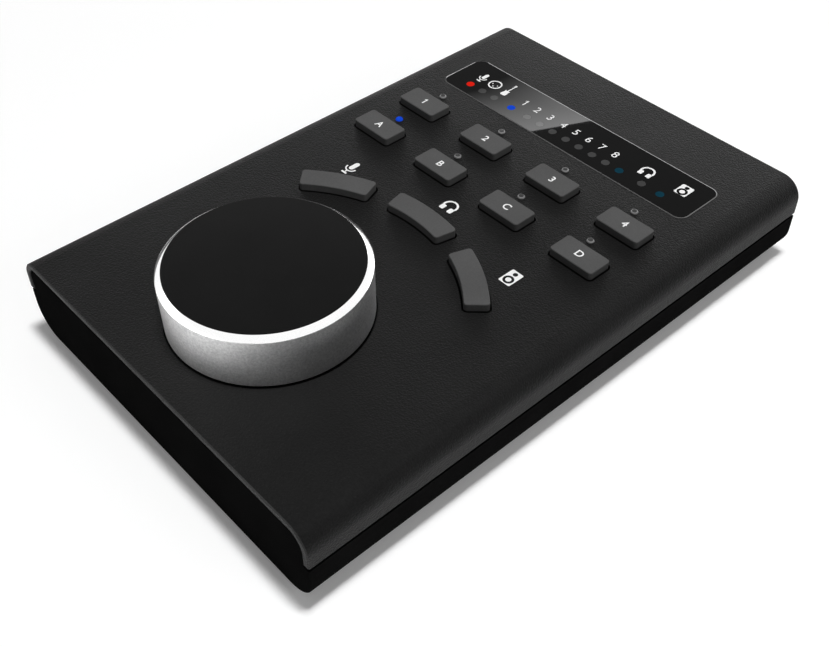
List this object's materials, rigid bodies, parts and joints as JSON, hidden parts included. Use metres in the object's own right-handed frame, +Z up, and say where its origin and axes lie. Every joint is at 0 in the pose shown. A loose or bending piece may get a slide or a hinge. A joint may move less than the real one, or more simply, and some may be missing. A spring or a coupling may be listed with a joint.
{
  "type": "audio interface controller",
  "caption": "Flat desktop controller for an audio interface, with a large turning dial, rows of push keys and a status window.",
  "frame": {"origin": "under the middle of the case, on the plane that the feet stand on", "axes": "+Z up out of the top face, +Y along the case from the dial to the status window, +X to the right"},
  "size_m": [0.114, 0.169, 0.0397],
  "materials": {
    "shell_coat": "fine textured black powder coat",
    "base_gloss": "satin black moulding",
    "foot_rubber": "matte black rubber",
    "steel": "plated steel",
    "black_screw": "blackened steel",
    "board": "solder resist on glass fibre board",
    "brass_spacer": "turned brass",
    "window_gloss": "polished black acrylic",
    "tape": "adhesive tape",
    "lens_red": "lit red lens",
    "lens_blue": "lit blue lens",
    "lens_teal": "dimly lit blue lens",
    "lens_unlit": "smoked diffusing lens",
    "lens_clear": "clear light pipe",
    "inner_black": "moulded black plastic",
    "led_body": "white moulded diode body",
    "well_black": "black painted steel plate",
    "aluminium_can": "drawn aluminium can",
    "dial_metal": "turned aluminium with a bright cut bevel",
    "cap_black": "matte black disc",
    "key_rubber": "matte dark grey rubber",
    "print_white": "white printing ink",
    "plunger_plastic": "moulded plastic"
  },
  "bodies": {
    "case": {"top_shell": "shell_coat", "base_tray": "base_gloss", "rear_panel": "base_gloss", "rubber_feet": "foot_rubber", "case_pillars": "steel", "base_screws": "black_screw", "main_board": "board", "board_spacers": "brass_spacer", "board_screws": "steel", "display_window": "window_gloss", "window_tape": "tape", "status_lens_red": "lens_red", "status_lens_blue": "lens_blue", "status_lens_teal": "lens_teal", "status_lenses_unlit": "lens_unlit", "light_baffle": "inner_black", "status_leds": "led_body", "key_leds": "led_body", "key_light_pipes": "lens_clear", "key_light_pipe_a": "lens_blue", "switch_housings": "inner_black", "encoder_housing": "inner_black", "encoder_washer": "steel", "encoder_nut": "steel", "dial_well": "well_black", "usb_socket_shell": "steel", "usb_socket_tongue": "inner_black", "controller_chip": "inner_black", "clock_crystal": "steel", "voltage_regulator": "inner_black", "capacitors": "aluminium_can"},
    "dial": {"dial_ring": "dial_metal", "dial_cap": "cap_black", "dial_hub": "inner_black", "encoder_shaft": "steel"},
    "key_1": {"key_1": "key_rubber", "plunger_1": "plunger_plastic"},
    "key_2": {"key_2": "key_rubber", "plunger_2": "plunger_plastic"},
    "key_3": {"key_3": "key_rubber", "plunger_3": "plunger_plastic"},
    "key_4": {"key_4": "key_rubber", "plunger_4": "plunger_plastic"},
    "key_a": {"key_a": "key_rubber", "plunger_a": "plunger_plastic"},
    "key_b": {"key_b": "key_rubber", "plunger_b": "plunger_plastic"},
    "key_c": {"key_c": "key_rubber", "plunger_c": "plunger_plastic"},
    "key_d": {"key_d": "key_rubber", "plunger_d": "plunger_plastic"},
    "key_mic": {"key_mic": "key_rubber", "plunger_mic": "plunger_plastic"},
    "key_headphones": {"key_headphones": "key_rubber", "plunger_headphones": "plunger_plastic"},
    "key_speakers": {"key_speakers": "key_rubber", "plunger_speakers": "plunger_plastic"}
  },
  "joints": [
    {"name": "dial_turn", "type": "hinge", "parent": "case", "child": "dial", "pos_m": [0, -0.05, 0], "axis": [0, 0, 1], "continuous": true},
    {"name": "press_1", "type": "slide", "parent": "case", "child": "key_1", "axis": [0, 0, -1], "range_m": [0, 0.0005], "stiffness_N_per_m": 2000},
    {"name": "press_2", "type": "slide", "parent": "case", "child": "key_2", "axis": [0, 0, -1], "range_m": [0, 0.0005], "stiffness_N_per_m": 2000},
    {"name": "press_3", "type": "slide", "parent": "case", "child": "key_3", "axis": [0, 0, -1], "range_m": [0, 0.0005], "stiffness_N_per_m": 2000},
    {"name": "press_4", "type": "slide", "parent": "case", "child": "key_4", "axis": [0, 0, -1], "range_m": [0, 0.0005], "stiffness_N_per_m": 2000},
    {"name": "press_a", "type": "slide", "parent": "case", "child": "key_a", "axis": [0, 0, -1], "range_m": [0, 0.0005], "stiffness_N_per_m": 2000},
    {"name": "press_b", "type": "slide", "parent": "case", "child": "key_b", "axis": [0, 0, -1], "range_m": [0, 0.0005], "stiffness_N_per_m": 2000},
    {"name": "press_c", "type": "slide", "parent": "case", "child": "key_c", "axis": [0, 0, -1], "range_m": [0, 0.0005], "stiffness_N_per_m": 2000},
    {"name": "press_d", "type": "slide", "parent": "case", "child": "key_d", "axis": [0, 0, -1], "range_m": [0, 0.0005], "stiffness_N_per_m": 2000},
    {"name": "press_mic", "type": "slide", "parent": "case", "child": "key_mic", "axis": [0, 0, -1], "range_m": [0, 0.0005], "stiffness_N_per_m": 2000},
    {"name": "press_headphones", "type": "slide", "parent": "case", "child": "key_headphones", "axis": [0, 0, -1], "range_m": [0, 0.0005], "stiffness_N_per_m": 2000},
    {"name": "press_speakers", "type": "slide", "parent": "case", "child": "key_speakers", "axis": [0, 0, -1], "range_m": [0, 0.0005], "stiffness_N_per_m": 2000}
  ]
}
